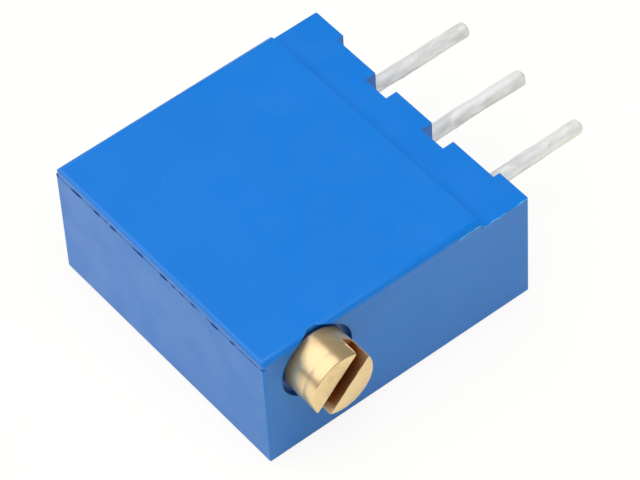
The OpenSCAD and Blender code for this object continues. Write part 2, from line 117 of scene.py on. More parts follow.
def noise(tree, place, scale, detail=2.0, distortion=0.0, seed=None, output="Fac"):
    values = {"Vector": place, "Scale": scale, "Detail": detail, "Distortion": distortion}
    if seed is None:
        return addNode(tree, "ShaderNodeTexNoise", values).outputs[output]
    values["W"] = seed
    return addNode(tree, "ShaderNodeTexNoise", values, noise_dimensions="4D").outputs[output]


def bumpFrom(tree, height, strength, depth):
    values = {"Strength": strength, "Distance": depth, "Height": height}
    return addNode(tree, "ShaderNodeBump", values).outputs[0]


def objectPlace(tree):
    return addNode(tree, "ShaderNodeTexCoord").outputs["Object"]


def asColour(value):
    return (*value, 1.0) if isinstance(value, tuple) else value


def blendColour(tree, factor, first, second):
    values = {mixFactor: factor, mixFirst: asColour(first), mixSecond: asColour(second)}
    return addNode(tree, "ShaderNodeMix", values, data_type="RGBA").outputs[mixResult]


def newTree(name, treeKind, inputs, outputs):
    tree = bpy.data.node_groups.new(name, treeKind)
    for socket, kind, *value in inputs:
        made = tree.interface.new_socket(socket, in_out="INPUT", socket_type=kind)
        if value:
            made.default_value = value[0]
    for socket, kind in outputs:
        tree.interface.new_socket(socket, in_out="OUTPUT", socket_type=kind)
    return tree, addNode(tree, "NodeGroupInput").outputs, addNode(tree, "NodeGroupOutput").inputs


# Slow change of tone over a surface, 0 to 1
def makeMottleGroup():
    inputs = [("Scale", floatKind, 200.0), ("Detail", floatKind, 3.0),
              ("Low", floatKind, 0.35), ("High", floatKind, 0.65)]
    tree, given, out = newTree("mottle", "ShaderNodeTree", inputs, [("Value", floatKind)])
    tone = noise(tree, objectPlace(tree), given["Scale"], given["Detail"])
    link(tree, ramp(tree, tone, given["Low"], given["High"]), out["Value"])
    return tree


# Scattered small marks: 1 in a mark, 0 around it
def makeSpeckGroup():
    bendReach = 0.4 * mm
    softShare = 0.5    # of a mark's size
    inputs = [("Scale", floatKind, 900.0), ("Size", floatKind, 0.2), ("Share", floatKind, 0.3)]
    tree, given, out = newTree("specks", "ShaderNodeTree", inputs, [("Value", floatKind)])
    place = objectPlace(tree)
    bend = noise(tree, place, given["Scale"], output="Color")
    shifted = vector(tree, "MULTIPLY", bend, (bendReach, bendReach, bendReach))
    moved = vector(tree, "ADD", place, shifted)
    cells = addNode(tree, "ShaderNodeTexVoronoi", {"Vector": moved, "Scale": given["Scale"]})
    inner = number(tree, "MULTIPLY", given["Size"], softShare)
    inside = ramp(tree, cells.outputs["Distance"], given["Size"], inner)
    split = addNode(tree, "ShaderNodeSeparateColor", {0: cells.outputs["Color"]})
    chosen = number(tree, "LESS_THAN", split.outputs[0], given["Share"])
    link(tree, number(tree, "MULTIPLY", inside, chosen), out["Value"])
    return tree


# Fine grain of a moulded or cast surface
def makeGrainGroup():
    fineDetail = 4.0
    coarseScale, coarseShare = 0.12, 3.0
    inputs = [("Scale", floatKind, 4000.0), ("Strength", floatKind, 0.2), ("Depth", floatKind, 0.000004)]
    tree, given, out = newTree("grain", "ShaderNodeTree", inputs, [("Normal", vectorKind)])
    place = objectPlace(tree)
    fine = noise(tree, place, given["Scale"], fineDetail)
    coarse = noise(tree, place, number(tree, "MULTIPLY", given["Scale"], coarseScale))
    height = number(tree, "ADD", fine, number(tree, "MULTIPLY", coarse, coarseShare))
    link(tree, bumpFrom(tree, height, given["Strength"], given["Depth"]), out["Normal"])
    return tree


# Edges within a small radius, broken up: 1 on a sharp edge
def makeEdgeGroup():
    flatCosine, turnedCosine = 0.995, 0.90    # between the face and its rounded normal
    bevelSamples = 4
    brokenFrom, brokenTo, brokenDetail = 0.38, 0.6, 3.0
    inputs = [("Radius", floatKind, 0.00006), ("Scale", floatKind, 2500.0)]
    tree, given, out = newTree("edges", "ShaderNodeTree", inputs, [("Value", floatKind)])
    rounded = addNode(tree, "ShaderNodeBevel", {"Radius": given["Radius"]}, samples=bevelSamples).outputs[0]
    normal = addNode(tree, "ShaderNodeNewGeometry").outputs["Normal"]
    edge = ramp(tree, vector(tree, "DOT_PRODUCT", rounded, normal), flatCosine, turnedCosine)
    tone = noise(tree, objectPlace(tree), given["Scale"], brokenDetail)
    broken = ramp(tree, tone, brokenFrom, brokenTo)
    link(tree, number(tree, "MULTIPLY", edge, broken), out["Value"])
    return tree


# Lumps and tone of a metal coat that ran and set
def makeCoatGroup():
    runStretch = (1.0, 0.35, 1.0)    # lumps run long in Y
    lumpDistortion = 0.4
    fineScale, fineDetail, fineShare = 6.0, 3.0, 0.12
    dullFrom, dullTo = 0.42, 0.66
    fleckFrom, fleckTo, fleckShare = 0.55, 0.75, 0.5
    depth = 0.04 * mm
    inputs = [("Bright", colourKind, (0.86, 0.86, 0.86, 1)), ("Dull", colourKind, (0.5, 0.5, 0.52, 1)),
              ("Scale", floatKind, 1500.0), ("Strength", floatKind, 0.5)]
    outputs = [("Color", colourKind), ("Normal", vectorKind), ("Dullness", floatKind)]
    tree, given, out = newTree("coat", "ShaderNodeTree", inputs, outputs)
    place = objectPlace(tree)
    stretched = vector(tree, "MULTIPLY", place, runStretch)
    lumps = noise(tree, stretched, given["Scale"], distortion=lumpDistortion)
    fine = noise(tree, place, number(tree, "MULTIPLY", given["Scale"], fineScale), fineDetail)
    dull = ramp(tree, lumps, dullFrom, dullTo)
    fleck = ramp(tree, fine, fleckFrom, fleckTo)
    tone = number(tree, "ADD", dull, number(tree, "MULTIPLY", fleck, fleckShare), clamp=True)
    link(tree, blendColour(tree, tone, given["Bright"], given["Dull"]), out["Color"])
    height = number(tree, "ADD", lumps, number(tree, "MULTIPLY", fine, fineShare))
    link(tree, bumpFrom(tree, height, given["Strength"], depth), out["Normal"])
    link(tree, tone, out["Dullness"])
    return tree


mottleGroup, speckGroup, grainGroup = makeMottleGroup(), makeSpeckGroup(), makeGrainGroup()
edgeGroup, coatGroup = makeEdgeGroup(), makeCoatGroup()


def useGroup(tree, group, values, output=0):
    return addNode(tree, "ShaderNodeGroup", values, node_tree=group).outputs[output]


def newMaterial(name, **values):
    material = bpy.data.materials.new(name)
    material.use_nodes = True
    shader = material.node_tree.nodes["Principled BSDF"]
    for key, value in values.items():
        shader.inputs[key.replace("_", " ")].default_value = asColour(value)
    return material, material.node_tree, shader.inputs


# How open the surroundings are within a reach in mm: 1 on a free face, less in a hollow
def openness(tree, reach, samples):
    node = addNode(tree, "ShaderNodeAmbientOcclusion", {"Distance": reach * mm}, samples=samples)
    return node.outputs["AO"]


# Moulded blue plastic of the body and its cover
bluePlastic = {
    "colour": (0.0015, 0.196, 0.70),
    "deeper": (0.001, 0.186, 0.67),
    "tones": {"Scale": 260.0, "Detail": 4.0, "Low": 0.3, "High": 0.7},
    # Lighter blue on sharp edges is a painted edge highlight
    "edge": (0.03, 0.30, 0.74),
    "edgeShare": 0.3,
    "edgeTintMask": {"Radius": 0.00005, "Scale": 1800.0},
    "flash": (0.10, 0.46, 0.84),
    "speckShare": 0.3,
    "specks": {"Scale": 1400.0, "Size": 0.09, "Share": 0.05},
    # Painted shade: navy laid into hollows, creases and seams where ambient occlusion is low
    "paintedRecessShade": (0.001, 0.05, 0.34),
    "recessReach": 0.5,    # mm
    "recessFrom": 0.5,    # openness
    "recessTo": 0.2,
    "recessSamples": 6,
    "smoothest": 0.29,
    "roughest": 0.38,
    "sheen": {"Scale": 900.0, "Low": 0.3, "High": 0.7},
    "grain": {"Scale": 5200.0, "Strength": 0.35},
}
flashPlastic = dict(bluePlastic, colour=bluePlastic["flash"], deeper=(0.05, 0.36, 0.8))


def makeBlue(name, spec):
    material, tree, shader = newMaterial(name, IOR=1.5)
    slow = useGroup(tree, mottleGroup, spec["tones"])
    colour = blendColour(tree, slow, spec["colour"], spec["deeper"])
    # Painted edge highlight: sharp edges a lighter blue, broken up
    edgeTint = number(tree, "MULTIPLY", useGroup(tree, edgeGroup, spec["edgeTintMask"]), spec["edgeShare"])
    colour = blendColour(tree, edgeTint, colour, spec["edge"])
    specks = number(tree, "MULTIPLY", useGroup(tree, speckGroup, spec["specks"]), spec["speckShare"])
    colour = blendColour(tree, specks, colour, spec["flash"])
    # Painted shade: the colour turns navy in hollows, creases and seams, by ambient occlusion
    hollow = openness(tree, spec["recessReach"], spec["recessSamples"])
    recessShadeMask = ramp(tree, hollow, spec["recessFrom"], spec["recessTo"])
    colour = blendColour(tree, recessShadeMask, colour, spec["paintedRecessShade"])
    link(tree, colour, shader["Base Color"])
    sheen = useGroup(tree, mottleGroup, spec["sheen"])
    rough = ramp(tree, sheen, 0.0, 1.0, spec["smoothest"], spec["roughest"])
    link(tree, rough, shader["Roughness"])
    link(tree, useGroup(tree, grainGroup, spec["grain"]), shader["Normal"])
    return material


# The screw lies along X, at this place in mm
screwAxis = {"y": -2.925, "z": 3.17}

# Free-machining brass, turned
turnedBrass = {
    "colour": (0.92, 0.69, 0.385),
    "brown": (0.30, 0.14, 0.03),
    "brownShare": 0.35,
    "stains": {"Scale": 900.0, "Detail": 4.0, "Low": 0.5, "High": 0.75},
    "edge": (1.0, 0.88, 0.66),
    "edgeShare": 0.7,
    "edgeTintMask": {"Radius": 0.00005, "Scale": 4200.0},
    # Painted shade in the slot, in brown
    "slotShadeBrown": (0.34, 0.10, 0.008),
    "slotReach": 0.9,    # mm
    "slotShade": (0.8, 0.5),    # openness
    "slotSamples": 8,
    "slotWithin": (1.05, 1.02),    # mm from the axis
    "slotFrom": (5.05, 5.15),    # mm along it
    "ringPitch": 0.028,    # mm
    "ringWobble": 0.04,    # mm
    "wobbleScale": 900.0,
    "ringShare": 0.5,
    "fineScale": 6000.0,
    "fineDetail": 3.0,
    "bumpStrength": 0.35,
    "bumpDepth": 0.004,    # mm
    "metallic": 0.75,
    "smoothest": 0.24,
    "roughest": 0.42,
}


def makeBrass(spec):
    material, tree, shader = newMaterial("turnedBrass", Metallic=spec["metallic"])
    place = objectPlace(tree)
    onAxis = (0.0, screwAxis["y"] * mm, screwAxis["z"] * mm)
    fromAxis = vector(tree, "SUBTRACT", place, onAxis)
    radius = vector(tree, "LENGTH", vector(tree, "MULTIPLY", fromAxis, (0.0, 1.0, 1.0)))
    along = addNode(tree, "ShaderNodeSeparateXYZ", {0: place}).outputs[0]

    # Rings left by the lathe, and a fine grain over them
    wobble = number(tree, "MULTIPLY", noise(tree, place, spec["wobbleScale"]), spec["ringWobble"] * mm)
    rings = number(tree, "ADD", number(tree, "ADD", radius, along), wobble)
    wave = number(tree, "SINE", number(tree, "MULTIPLY", rings, 2 * math.pi / (spec["ringPitch"] * mm)))
    fine = noise(tree, place, spec["fineScale"], spec["fineDetail"])
    height = number(tree, "ADD", number(tree, "MULTIPLY", wave, spec["ringShare"]), fine)
    link(tree, bumpFrom(tree, height, spec["bumpStrength"], spec["bumpDepth"] * mm), shader["Normal"])

    stain = useGroup(tree, mottleGroup, spec["stains"])
    brown = number(tree, "MULTIPLY", stain, spec["brownShare"])
    colour = blendColour(tree, brown, spec["colour"], spec["brown"])
    # Sharp edges a paler brass, broken up
    edgeTint = number(tree, "MULTIPLY", useGroup(tree, edgeGroup, spec["edgeTintMask"]), spec["edgeShare"])
    colour = blendColour(tree, edgeTint, colour, spec["edge"])

    # Painted shade in the slot: brown where it is hollow, close to the axis, at the head
    slotShadeMask = ramp(tree, openness(tree, spec["slotReach"], spec["slotSamples"]), *spec["slotShade"])
    near = ramp(tree, radius, *[part * mm for part in spec["slotWithin"]])
    slotShadeMask = number(tree, "MULTIPLY", slotShadeMask, near)
    atHead = ramp(tree, along, *[part * mm for part in spec["slotFrom"]])
    slotShadeMask = number(tree, "MULTIPLY", slotShadeMask, atHead)
    colour = blendColour(tree, slotShadeMask, colour, spec["slotShadeBrown"])
    link(tree, colour, shader["Base Color"])
    rough = ramp(tree, stain, 0.0, 1.0, spec["smoothest"], spec["roughest"])
    link(tree, rough, shader["Roughness"])
    return material


# Coats of dipped tin on the pins, and of solder at their roots
tinCoat = {
    "name": "tinnedWire",
    "bright": (0.96, 0.96, 0.95),
    "dull": (0.78, 0.78, 0.76),
    "metallic": 0.28,
    "smoothest": 0.42,
    "roughest": 0.57,
    "scale": 3000.0,
    "strength": 1.0,
}
solderCoat = {
    "name": "solder",
    "bright": (0.78, 0.78, 0.80),
    "dull": (0.42, 0.42, 0.45),
    "metallic": 0.9,
    "smoothest": 0.3,
    "roughest": 0.45,
    "scale": 1200.0,
    "strength": 0.8,
}


def makeCoatMetal(spec):
    material, tree, shader = newMaterial(spec["name"], Metallic=spec["metallic"])
    values = {"Bright": asColour(spec["bright"]), "Dull": asColour(spec["dull"]),
              "Scale": spec["scale"], "Strength": spec["strength"]}
    made = addNode(tree, "ShaderNodeGroup", values, node_tree=coatGroup).outputs
    link(tree, made["Color"], shader["Base Color"])
    link(tree, made["Normal"], shader["Normal"])
    rough = ramp(tree, made["Dullness"], 0.0, 1.0, spec["smoothest"], spec["roughest"])
    link(tree, rough, shader["Roughness"])
    return material


# Plain stuff with a slow change of tone, specks and grain: what all of it shares
stuffLook = {
    "tones": {"Detail": 5.0, "Low": 0.3, "High": 0.7},
    "specks": {"Scale": 1600.0, "Size": 0.25},
    "grainScale": 6000.0,
}


def makeStuff(name, colour, other, roughness, metallic=0.0, scale=500.0, specks=0.0,
              speckColour=(0.9, 0.9, 0.9), grain=0.3, **values):
    material, tree, shader = newMaterial(name, Roughness=roughness, Metallic=metallic, **values)
    slow = useGroup(tree, mottleGroup, dict(stuffLook["tones"], Scale=scale))
    mixed = blendColour(tree, slow, colour, other)
    if specks:
        found = useGroup(tree, speckGroup, dict(stuffLook["specks"], Share=specks))
        mixed = blendColour(tree, found, mixed, speckColour)
    link(tree, mixed, shader["Base Color"])
    grained = useGroup(tree, grainGroup, {"Scale": stuffLook["grainScale"], "Strength": grain})
    link(tree, grained, shader["Normal"])
    return material


# Painted shadow: a dark navy bead laid in the joint where the cover meets the body, for the shade in the
# gap there
seamShadowLook = {
    "name": "seamShadowNavy",
    "colour": (0.003, 0.035, 0.19),
    "other": (0.004, 0.065, 0.29),
    "roughness": 0.7,
    "Specular_IOR_Level": 0.1,
}
# Finish of each inner piece, by its slot
plainFinishes = {
    "seal_rubber": {
        "name": "sealRubber", "colour": (0.012, 0.012, 0.013), "other": (0.02, 0.02, 0.021),
        "roughness": 0.6, "grain": 0.5},
    "clip_steel": {
        "name": "clipSteel", "colour": (0.62, 0.62, 0.60), "other": (0.5, 0.5, 0.49),
        "roughness": 0.28, "metallic": 1.0, "scale": 1500.0},
    "rotor_nylon": {
        "name": "rotorNylon", "colour": (0.80, 0.78, 0.70), "other": (0.74, 0.72, 0.63),
        "roughness": 0.45, "specks": 0.04, "speckColour": (0.55, 0.52, 0.42),
        "Subsurface_Weight": 0.08, "Subsurface_Scale": 0.0002},
    "spring_alloy": {
        "name": "springAlloy", "colour": (0.80, 0.62, 0.38), "other": (0.72, 0.52, 0.30),
        "roughness": 0.26, "metallic": 1.0, "scale": 1800.0},
    "brush_alloy": {
        "name": "brushAlloy", "colour": (0.85, 0.80, 0.66), "other": (0.74, 0.68, 0.52),
        "roughness": 0.25, "metallic": 1.0, "scale": 2500.0},
    "alumina": {
        "name": "alumina", "colour": (0.82, 0.80, 0.75), "other": (0.76, 0.74, 0.69),
        "roughness": 0.55, "specks": 0.08, "speckColour": (0.62, 0.60, 0.55)},
    "cermet_ink": {
        "name": "cermetInk", "colour": (0.012, 0.011, 0.012), "other": (0.03, 0.028, 0.028),
        "roughness": 0.35, "specks": 0.15, "speckColour": (0.10, 0.09, 0.08)},
    "conductor_ink": {
        "name": "conductorInk", "colour": (0.70, 0.68, 0.63), "other": (0.55, 0.53, 0.48),
        "roughness": 0.42, "metallic": 0.9, "scale": 1500.0,
        "specks": 0.1, "speckColour": (0.38, 0.36, 0.32)},
    "blue_resin": {
        "name": "blueResin", "colour": (0.008, 0.14, 0.50), "other": (0.007, 0.11, 0.42),
        "roughness": 0.22, "specks": 0.05, "speckColour": (0.2, 0.45, 0.7), "grain": 0.15},
}

finishes = {
    "blue_moulding": makeBlue("blueMoulding", bluePlastic),
    "screw_brass": makeBrass(turnedBrass),
    "tinned_wire": makeCoatMetal(tinCoat),
    "solder": makeCoatMetal(solderCoat),
}
for slot, values in plainFinishes.items():
    finishes[slot] = makeStuff(**values)
seamShadowNavy = makeStuff(**seamShadowLook)
flashBlue = makeBlue("blueFlash", flashPlastic)
print("materials made:", len(finishes))


# Mesh helpers, and what all softened edges share
softEdges = {
    "weldWithin": 0.0005,    # mm
    "flatWithin": 1.0,    # degrees
    "sharpFrom": 32.0,    # degrees
    "segments": 2,
    "faceWeight": 60,
}


def linkMesh(name, mesh):
    piece = bpy.data.objects.new(name, mesh)
    scene.collection.objects.link(piece)
    return piece


def meshFromBmesh(name, shape):
    mesh = bpy.data.meshes.new(name)
    shape.normal_update()
    shape.to_mesh(mesh)
    shape.free()
    return linkMesh(name, mesh)


def bakeModifiers(piece):
    depsgraph = bpy.context.evaluated_depsgraph_get()
    depsgraph.update()
    baked = bpy.data.meshes.new_from_object(piece.evaluated_get(depsgraph))
    piece.modifiers.clear()
    piece.data = baked
    return piece


def nodeShape(node, flatDegrees=softEdges["flatWithin"]):
    shape = bmesh.new()
    shape.from_mesh(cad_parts[node].data)
    bmesh.ops.remove_doubles(shape, verts=shape.verts, dist=softEdges["weldWithin"] * mm)
    bmesh.ops.dissolve_limit(shape, angle_limit=math.radians(flatDegrees),
                             verts=shape.verts, edges=shape.edges)
    return shape


def shadeRound(piece, width=0.0, degrees=softEdges["sharpFrom"]):
    for face in piece.data.polygons:
        face.use_smooth = True
    if width:
        bevel = piece.modifiers.new("softEdges", "BEVEL")
        bevel.width = width * mm
        bevel.segments = softEdges["segments"]
        bevel.limit_method = "ANGLE"
        bevel.angle_limit = math.radians(degrees)
        bevel.miter_outer = "MITER_ARC"
    else:
        piece.data.set_sharp_from_angle(angle=math.radians(degrees))
    weighted = piece.modifiers.new("faceWeights", "WEIGHTED_NORMAL")
    weighted.keep_sharp = True
    weighted.weight = softEdges["faceWeight"]
    return bakeModifiers(piece)


def finishPiece(piece, body, slot, nodes=(), material=None):
    piece.data.materials.clear()
    piece.data.materials.append(material or finishes[slot])
    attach(piece, body)
    if nodes:
        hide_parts(*nodes)
    return piece


# Pieces drawn from their CAD node with softened edges: name, body, slot, edge width in mm
softPieces = {
    "housing": ("housingShell", "body", "blue_moulding", 0.016),
    "cover_plate": ("coverShell", "body", "blue_moulding", 0.03),
    "screw_seal_ring": ("sealRing", "screw", "seal_rubber", 0.0),
    "retaining_clip": ("retainingClip", "body", "clip_steel", 0.02),
    "rotor_wheel": ("rotorWheel", "rotor", "rotor_nylon", 0.012),
    "wiper_spring": ("wiperSpring", "rotor", "spring_alloy", 0.01),
    "wiper_brush": ("wiperBrush", "rotor", "brush_alloy", 0.0),
    "ceramic_plate": ("ceramicPlate", "body", "alumina", 0.03),
    "resistive_track": ("resistiveTrack", "body", "cermet_ink", 0.008),
    "collector_print": ("collectorPrint", "body", "conductor_ink", 0.008),
    "end_print_1": ("endPrint1", "body", "conductor_ink", 0.008),
    "end_print_3": ("endPrint3", "body", "conductor_ink", 0.008),
    "solder_joint_1": ("solderJoint1", "body", "solder", 0.05),
    "solder_joint_2": ("solderJoint2", "body", "solder", 0.05),
    "solder_joint_3": ("solderJoint3", "body", "solder", 0.05),
    "end_seal": ("endSeal", "body", "blue_resin", 0.02),
}
for node, (name, body, slot, edge) in softPieces.items():
    piece = shadeRound(meshFromBmesh(name, nodeShape(node)), edge)
    finishPiece(piece, body, slot, (node,))
print("soft pieces made:", len(softPieces))


# Slotted screw: a fine lathe for the head, on the CAD's worm and neck
screwHead = {
    "headTo": 5.9,    # mm along X
    "cutAt": 4.5,    # mm, where the CAD's shaft ends
    "slotWidth": 0.6,    # mm
    "slotDepth": 0.7,    # mm
    "slotTurn": 45.0,    # degrees
    "cutterReach": 3.0,    # mm past the slot's floor
    "edge": 0.018,    # mm
    "sharpFrom": 40.0,    # degrees
    "flatWithin": 0.2,    # degrees
    "sides": 128,
    # Back rim, a shallow turned band, and the chamfered front rim: x and radius in mm
    "profile": ((4.40, 0.845), (4.58, 0.845), (4.58, 1.02), (4.61, 1.055),
                (5.42, 1.06), (5.43, 1.058), (5.445, 1.058), (5.455, 1.06),
                (5.865, 1.06), (5.89, 1.048), (5.9, 1.02),
                (5.9, 0.36), (5.893, 0.30), (5.89, 0.0)),
}
onPlane = 1e-8    # metres


def latheAboutX(name, profile, sides, axis):
    shape = bmesh.new()
    rings = []
    for x, radius in profile:
        turns = [2 * math.pi * i / sides for i in range(sides if radius else 1)]
        rings.append([shape.verts.new((x * mm, (axis["y"] + radius * math.cos(turn)) * mm,
                                       (axis["z"] + radius * math.sin(turn)) * mm)) for turn in turns])
    for first, second in zip(rings, rings[1:]):
        for i in range(sides):
            j = (i + 1) % sides
            if len(second) == 1:
                shape.faces.new((first[i], first[j], second[0]))
            else:
                shape.faces.new((first[i], first[j], second[j], second[i]))
    shape.faces.new(list(reversed(rings[0])))
    bmesh.ops.recalc_face_normals(shape, faces=shape.faces)
    return meshFromBmesh(name, shape)


def slotCutter(spec):
    reach = spec["cutterReach"]
    size = (reach, 2 * reach, spec["slotWidth"])
    place = Vector((spec["headTo"] - spec["slotDepth"] + reach / 2, screwAxis["y"], screwAxis["z"]))
    turn = Matrix.Rotation(math.radians(spec["slotTurn"]), 4, "X")
    shape = bmesh.new()
    bmesh.ops.create_cube(shape, size=1.0)
    matrix = Matrix.Translation(place * mm) @ turn @ Matrix.Diagonal((*[s * mm for s in size], 1.0))
    bmesh.ops.transform(shape, matrix=matrix, verts=shape.verts)
    return meshFromBmesh("slotCutter", shape)


def cutWith(piece, cutter):
    cut = piece.modifiers.new("cut", "BOOLEAN")
    cut.operation = "DIFFERENCE"
    cut.solver = "EXACT"
    cut.object = cutter
    bakeModifiers(piece)
    bpy.data.objects.remove(cutter, do_unlink=True)


def makeScrew(spec):
    head = latheAboutX("screwHead", spec["profile"], spec["sides"], screwAxis)
    cutWith(head, slotCutter(spec))
    shadeRound(head, spec["edge"], spec["sharpFrom"])
    shape = nodeShape("adjusting_screw", spec["flatWithin"])
    everything = shape.verts[:] + shape.edges[:] + shape.faces[:]
    bmesh.ops.bisect_plane(shape, geom=everything, dist=onPlane, plane_co=(spec["cutAt"] * mm, 0, 0),
                           plane_no=(1, 0, 0), clear_outer=True)
    bmesh.ops.holes_fill(shape, edges=[edge for edge in shape.edges if edge.is_boundary])
    shaft = shadeRound(meshFromBmesh("screwShaft", shape), degrees=spec["sharpFrom"])
    for piece in (shaft, head):
        finishPiece(piece, "screw", "screw_brass", ("adjusting_screw",))
    return head


screwPiece = makeScrew(screwHead)
print("screw made:", len(screwPiece.data.polygons), "faces in its head")


# Geometry Nodes helpers
def newShapeTree(name, inputs):
    tree, given, out = newTree(name, "GeometryNodeTree", [("Geometry", shapeKind), *inputs],
                               [("Geometry", shapeKind)])
    path = addNode(tree, "GeometryNodeMeshToCurve", {"Mesh": given["Geometry"]}).outputs[0]
    place = addNode(tree, "GeometryNodeInputPosition").outputs[0]
    return tree, given, out, path, place


def moveBy(tree, shape, offset):
    return addNode(tree, "GeometryNodeSetPosition", {"Geometry": shape, "Offset": offset}).outputs[0]


# A random way off each point, as far as reach in X, Y and Z
def driftOf(tree, place, scale, detail, seed, reach):
    drift = noise(tree, place, scale, detail, seed=seed, output="Color")
    centred = vector(tree, "SUBTRACT", drift, (0.5, 0.5, 0.5))
    return vector(tree, "MULTIPLY", centred, reach)


def sweep(tree, path, radius, sides, thickness):
    circle = {"Resolution": sides, "Radius": radius}
    ring = addNode(tree, "GeometryNodeCurvePrimitiveCircle", circle).outputs[0]
    values = {"Curve": path, "Profile Curve": ring, "Scale": thickness, "Fill Caps": True}
    return addNode(tree, "GeometryNodeCurveToMesh", values).outputs[0]


def closeTree(tree, geometry, material, out):
    solid = addNode(tree, "GeometryNodeRealizeInstances", {"Geometry": geometry}).outputs[0]
    smooth = addNode(tree, "GeometryNodeSetShadeSmooth", {"Geometry": solid}).outputs[0]
    painted = addNode(tree, "GeometryNodeSetMaterial", {"Geometry": smooth, "Material": material})
    link(tree, painted.outputs[0], out["Geometry"])
    return tree


def runTree(name, tree, points, values):
    mesh = bpy.data.meshes.new(name)
    places = [tuple(part * mm for part in point) for point in points]
    mesh.from_pydata(places, [(i, i + 1) for i in range(len(points) - 1)], [])
    piece = linkMesh(name, mesh)
    modifier = piece.modifiers.new(name, "NODES")
    modifier.node_group = tree
    for item in tree.interface.items_tree:
        if item.in_out == "INPUT" and item.name in values:
            modifier[item.identifier] = values[item.name]
    return bakeModifiers(piece)


# A wire dipped in solder: lumps on its skin, a slight bend, a tip drawn in
def makeWireTree():
    steps, sides = 180, 28
    bendScale, bendPower, acrossOnly = 220.0, 1.5, (1.0, 0.0, 1.0)
    tipShare = 0.55    # of the radius, at the very end
    lumpStretch, lumpMiddle = (1.0, 0.45, 1.0), 0.55
    tree, given, out, path, place = newShapeTree("dippedWire", [
        ("Radius", floatKind, 0.00025), ("Lumps", floatKind, 0.05), ("Lump Scale", floatKind, 1500.0),
        ("Bend", floatKind, 0.0), ("Tip", floatKind, 0.02), ("Seed", floatKind, 1.0),
        ("Material", materialKind)])
    fine = addNode(tree, "GeometryNodeResampleCurve", {"Curve": path, "Count": steps}).outputs[0]
    factor = addNode(tree, "GeometryNodeSplineParameter").outputs["Factor"]
    across = driftOf(tree, place, bendScale, 0.0, given["Seed"], acrossOnly)
    amount = number(tree, "MULTIPLY", given["Bend"], number(tree, "POWER", factor, bendPower))
    bent = moveBy(tree, fine, vector(tree, "SCALE", across, amount))
    tip = ramp(tree, factor, number(tree, "SUBTRACT", 1.0, given["Tip"]), 1.0, 1.0, tipShare)
    tube = sweep(tree, bent, given["Radius"], sides, tip)
    stretched = vector(tree, "MULTIPLY", place, lumpStretch)
    lump = noise(tree, stretched, given["Lump Scale"], seed=given["Seed"])
    size = number(tree, "MULTIPLY", given["Lumps"], given["Radius"])
    height = number(tree, "MULTIPLY", number(tree, "SUBTRACT", lump, lumpMiddle), size)
    normal = addNode(tree, "GeometryNodeInputNormal").outputs[0]
    lumpy = moveBy(tree, tube, vector(tree, "SCALE", normal, height))
    return closeTree(tree, lumpy, given["Material"], out)


# A bead of flash squeezed out of a parting line: it wanders, swells and fades
def makeFlashTree():
    step, sides = 0.03 * mm, 8
    barest, coverReach, fade = 0.72, 0.44, 0.14    # of the noise that swells it
    tree, given, out, path, place = newShapeTree("flashBead", [
        ("Radius", floatKind, 0.00003), ("Least", floatKind, 0.1), ("Cover", floatKind, 0.5),
        ("Scale", floatKind, 1500.0), ("Wander", vectorKind, (0.0, 0.0, 0.0)),
        ("Wander Scale", floatKind, 700.0), ("Seed", floatKind, 1.0), ("Material", materialKind)])
    values = {"Curve": path, "Length": step}
    fine = addNode(tree, "GeometryNodeResampleCurve", values, mode="LENGTH").outputs[0]
    wander = driftOf(tree, place, given["Wander Scale"], 1.0, given["Seed"], given["Wander"])
    moved = moveBy(tree, fine, wander)
    swell = noise(tree, place, given["Scale"], seed=given["Seed"])
    start = number(tree, "SUBTRACT", barest, number(tree, "MULTIPLY", given["Cover"], coverReach))
    size = ramp(tree, swell, start, number(tree, "ADD", start, fade), given["Least"], 1.0)
    tube = sweep(tree, moved, given["Radius"], sides, size)
    return closeTree(tree, tube, given["Material"], out)


wireTree, flashTree = makeWireTree(), makeFlashTree()

pins = {
    "x": (-2.54, 0.0, 2.54),    # mm
    "z": 2.5,
    "from": 2.86,
    "to": 8.61,
    "radius": 0.25,
    "bends": (0.0, 0.10, 0.06),
    "lumps": 0.38,    # of the radius
    "lumpScale": 2200.0,
    "tip": 0.015,    # of the length
}
for pinNumber, (x, bend) in enumerate(zip(pins["x"], pins["bends"]), 1):
    path = [(x, pins["from"], pins["z"]), (x, pins["to"], pins["z"])]
    values = {"Radius": pins["radius"] * mm, "Lumps": pins["lumps"], "Lump Scale": pins["lumpScale"],
              "Bend": bend * mm, "Tip": pins["tip"], "Seed": 3.0 * pinNumber,
              "Material": finishes["tinned_wire"]}
    piece = runTree(f"pinWire{pinNumber}", wireTree, path, values)
    finishPiece(piece, "body", "tinned_wire", (f"pin_{pinNumber}",))
print("pins made:", len(pins["x"]))


def addBead(name, path, values, body, slot, material):
    values = dict(values, Radius=values["Radius"] * mm, Material=material,
                  Wander=tuple(part * mm for part in values["Wander"]))
    piece = runTree(name, flashTree, path, values)
    finishPiece(piece, body, slot, material=material)
